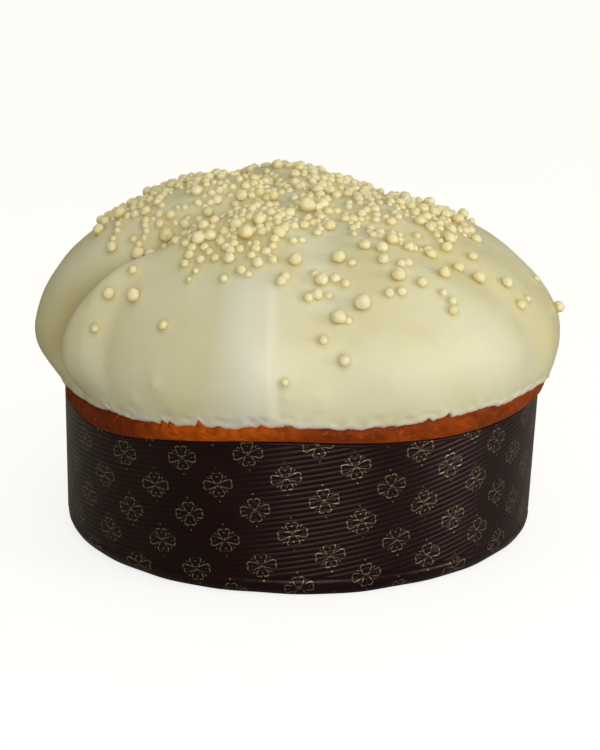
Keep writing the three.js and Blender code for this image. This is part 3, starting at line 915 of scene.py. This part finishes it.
def poured_relief(heading, tilt, place):
    """Soft waves and runs of the icing: a long ridge down the front, and a few short drips."""
    turn = math.degrees(heading)
    relief = 0.45 * noise.noise(place * 0.035) + 0.22 * noise.noise(place * 0.09)
    relief += 1.2 * fade(-24, -9, turn) * (1 - fade(-7.5, -5, turn)) * (1 - fade(25, 42, tilt))
    for middle, lowest, highest, rise in RUNS:
        span = fade(lowest, lowest + 2, tilt) * (1 - fade(highest - 4, highest, tilt))
        relief += rise * bell(heading, middle, RUN_WIDTH) * span
    return relief


def icing_place(point):
    """Where a point of the icing lies, after its nearness to the edge, the painted shade round pearls and in
    the left crease, and the painted highlight along the front ridge are noted on it.
    """
    heading = heading_of(point)
    part, share = icing_rows[round(point.co.z)]
    key = round(heading, 5)
    if key not in edge_tilts:
        edge_tilts[key] = icing_edge_tilt(heading)
    edge = edge_tilts[key] + 0.2
    if part == "inside":
        return dome_point(heading, blend(edge, 90, share), ICING_THICKNESS)
    if part == "edge":
        turn = math.pi * share
        point[edge_layer] = 1.0
        sunk = ICING_THICKNESS * 0.5 * (1 + math.cos(turn)) - EDGE_SWELL * 0.6 * math.sin(turn)
        return dome_point(heading, edge - EDGE_ROUND * math.sin(turn), sunk)
    tilt = blend(edge, 90, share)
    place = dome_point(heading, tilt)
    above = tilt - edge
    point[edge_layer] = 1 - fade(0.6, 2.4 + 3.0 * bell(heading, -28, 22), above)
    swell = poured_relief(heading, tilt, place) * fade(0.0, 6.0, above)
    swell += EDGE_SWELL * math.exp(-((above - 0.9) / 1.0) ** 2)
    swell += 0.7 * noise.noise(place * 0.3) * fade(0.3, 1.2, above) * (1 - fade(2.0, 7.0, above))
    point[crease_shade_layer] = crease_painted_shade(place - Vector((DOME_SHIFT, 0, 0)), tilt)
    # Painted highlight: the icing is painted paler along the ridge down the front and, higher up, just right
    # of the middle.
    point[ridge_highlight_layer] = bell(heading, -11, 8) * (1 - fade(30, 50, tilt))
    point[ridge_highlight_layer] += 0.6 * bell(heading, 7, 7) * fade(15, 30, tilt)
    for _, number, distance in pearl_tree.find_n(place, NEAREST_PEARLS):
        beyond = max(distance - pearl_places[number][1] * PEARL_SINK, 0.0)
        swell += FOOT_RISE * math.exp(-(beyond / FOOT_REACH) ** 2)
        point[pearl_shade_layer] = max(point[pearl_shade_layer], math.exp(-(beyond / PEARL_SHADE_REACH) ** 2))
    angle = math.radians(tilt)
    return place + round_z(swell * math.cos(angle), heading, swell * math.sin(angle))


for point in icing_form.verts:
    point.co = icing_place(point)

ICING_IVORY = (0.750, 0.685, 0.390, 1.0)
ICING_CREAM = (0.790, 0.760, 0.530, 1.0)
ICING_BLOOM_AND_HIGHLIGHT = (0.83, 0.82, 0.67, 1.0)
ICING_EDGE = (0.75, 0.725, 0.65, 1.0)
ICING_PEARL_SHADE = (0.60, 0.515, 0.22, 1.0)
ICING_CREASE_SHADE = (0.44, 0.35, 0.08, 1.0)

icing, t, icing_bsdf, icing_coordinates = new_finish("white_chocolate_icing")
icing_bsdf.inputs["Subsurface Weight"].default_value = 0.22
icing_bsdf.inputs["Subsurface Radius"].default_value = (0.004, 0.003, 0.0015)
cloudy, fine = mottled(t, icing_coordinates, 22.0, 260.0)
cream = tint_node(t, cloudy, ICING_IVORY, ICING_CREAM)
cream = tint_node(t, ramp_node(t, fine, 0.55, 0.75, 0.0, 0.3), cream, ICING_BLOOM_AND_HIGHLIGHT)
# Painted highlight: paler icing along the front ridge.
cream = tint_node(t, attribute_node("ridge_highlight"), cream, ICING_BLOOM_AND_HIGHLIGHT)
# Painted shade: the icing darkens to olive close round each pearl's foot, where shade falls.
cream = tint_node(t, sum_node(t, "MULTIPLY", attribute_node("pearl_foot_shade"), 0.6), cream, ICING_PEARL_SHADE)
# Painted shade: the icing turns dark olive low in the left crease, where shade falls.
cream = tint_node(t, sum_node(t, "MULTIPLY", attribute_node("crease_painted_shade"), 0.9), cream, ICING_CREASE_SHADE)
cream = tint_node(t, sum_node(t, "MULTIPLY", attribute_node("edge_nearness"), 0.8), cream, ICING_EDGE)
t.links.new(cream, icing_bsdf.inputs["Base Color"])
t.links.new(ramp_node(t, cloudy, 0.0, 1.0, 0.36, 0.46), icing_bsdf.inputs["Roughness"])
t.links.new(bump_node(t, fine, 0.15, 0.0003), icing_bsdf.inputs["Normal"])

coat = finished_piece(icing_form, "poured_icing", icing)
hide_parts("icing")
